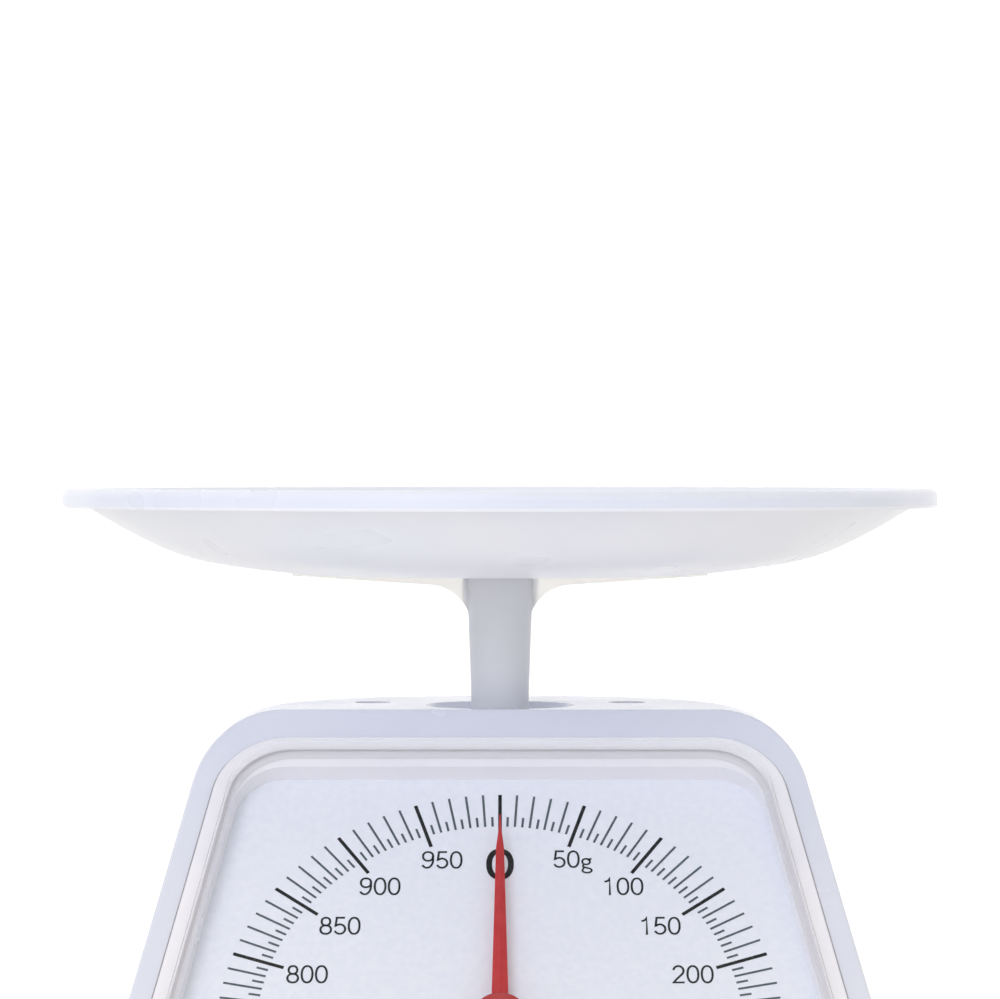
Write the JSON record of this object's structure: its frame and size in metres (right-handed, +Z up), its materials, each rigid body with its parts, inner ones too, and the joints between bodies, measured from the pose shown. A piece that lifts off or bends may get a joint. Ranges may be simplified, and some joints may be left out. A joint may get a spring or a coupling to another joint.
{
  "type": "analogue kitchen scale",
  "caption": "Spring kitchen scale with a dish pan on a T-shaped stem, a wedge body and a tilted round dial under a raised clear cover; pressing the pan turns the needle.",
  "frame": {"origin": "under the middle of the scale's overall footprint, on the table", "axes": "+X to the right of a person reading the dial, +Y to the back, +Z up"},
  "size_m": [0.21, 0.233, 0.1943],
  "materials": {
    "white_abs": "moulded, semi-gloss",
    "milk_plastic": "moulded, glossy, faintly translucent",
    "stem_plastic": "moulded, translucent",
    "base_plastic": "moulded, fine matt",
    "foot_rubber": "matt",
    "clear_lens": "moulded, clear, polished",
    "dial_print": "printed card white",
    "needle_red": "moulded",
    "cap_plastic": "moulded",
    "screw_steel": "zinc plated",
    "sheet_steel": "zinc plated sheet",
    "rod_steel": "turned",
    "post_plastic": "moulded",
    "brass": "turned and stamped",
    "white_pom": "moulded",
    "wheel_plastic": "moulded, notched rim",
    "spring_wire": "drawn wire"
  },
  "bodies": {
    "root": {"housing": "white_abs", "base_plate": "base_plastic", "feet": "foot_rubber", "base_screws": "screw_steel", "deck_screws": "screw_steel", "lens_cover": "clear_lens", "dial_plate": "dial_print", "dial_screws": "screw_steel", "chassis": "sheet_steel", "chassis_screws": "screw_steel", "lower_pivot_rod": "rod_steel", "upper_pivot_rod": "rod_steel", "movement_front_plate": "brass", "movement_back_plate": "brass", "movement_pillars": "brass", "movement_screws": "screw_steel", "front_bush": "brass", "back_bush": "brass", "rack_guide": "white_pom", "zero_bracket": "sheet_steel", "bracket_screws": "screw_steel"},
    "lower_link": {"lower_link": "sheet_steel", "spring_pin": "rod_steel"},
    "upper_link": {"upper_link": "sheet_steel"},
    "carrier": {"carrier": "sheet_steel", "lower_carrier_pin": "rod_steel", "upper_carrier_pin": "rod_steel", "drive_pin": "rod_steel", "post": "post_plastic", "pan_stem": "stem_plastic"},
    "pan": {"pan": "milk_plastic"},
    "rack": {"rack": "sheet_steel"},
    "needle": {"pinion_arbor": "rod_steel", "needle": "needle_red", "needle_cap": "cap_plastic"},
    "zero_wheel": {"zero_wheel": "wheel_plastic", "zero_screw": "rod_steel"},
    "spring_nut": {"spring_nut": "white_pom", "main_spring": "spring_wire"}
  },
  "joints": [
    {"name": "load", "type": "hinge", "parent": "root", "child": "lower_link", "pos_m": [0, -0.02329, 0.025], "axis": [-1, 0, 0], "range_deg": [0, 12.98], "stiffness_Nm_per_rad": 1.55, "springref_deg": -4.01, "deforming": ["main_spring"]},
    {"name": "upper_link_turn", "type": "hinge", "parent": "root", "child": "upper_link", "pos_m": [0, -0.02329, 0.097], "axis": [-1, 0, 0], "range_deg": [0, 12.99]},
    {"name": "carrier_level", "type": "hinge", "parent": "lower_link", "child": "carrier", "pos_m": [0, 0.01149, 0.02888], "axis": [-1, 0, 0], "range_deg": [-12.99, 0]},
    {"name": "pan_lift", "type": "slide", "parent": "carrier", "child": "pan", "axis": [0, 0, 1], "range_m": [0, 0.03]},
    {"name": "rack_slide", "type": "slide", "parent": "root", "child": "rack", "axis": [0, -0.6361, -0.7716], "range_m": [0, 0.01026]},
    {"name": "needle_turn", "type": "hinge", "parent": "root", "child": "needle", "pos_m": [0, -0.05756, 0.07306], "axis": [0, 0.7716, -0.6361], "range_deg": [0, 367.38]},
    {"name": "zero_turn", "type": "hinge", "parent": "root", "child": "zero_wheel", "pos_m": [0, 0.05449, 0.112], "axis": [0, 0, 1], "range_deg": [-360, 360]},
    {"name": "nut_slide", "type": "slide", "parent": "root", "child": "spring_nut", "axis": [0, 0, 1], "range_m": [-0.001, 0.001]}
  ],
  "couplings": [
    {"joint": "upper_link_turn", "follows": "load", "ratio": 1},
    {"joint": "carrier_level", "follows": "load", "ratio": -1},
    {"joint": "rack_slide", "follows": "load", "m_per_rad": 0.045266},
    {"joint": "needle_turn", "follows": "load", "ratio": 28.291},
    {"joint": "nut_slide", "follows": "zero_turn", "m_per_rad": -0.00015915}
  ]
}
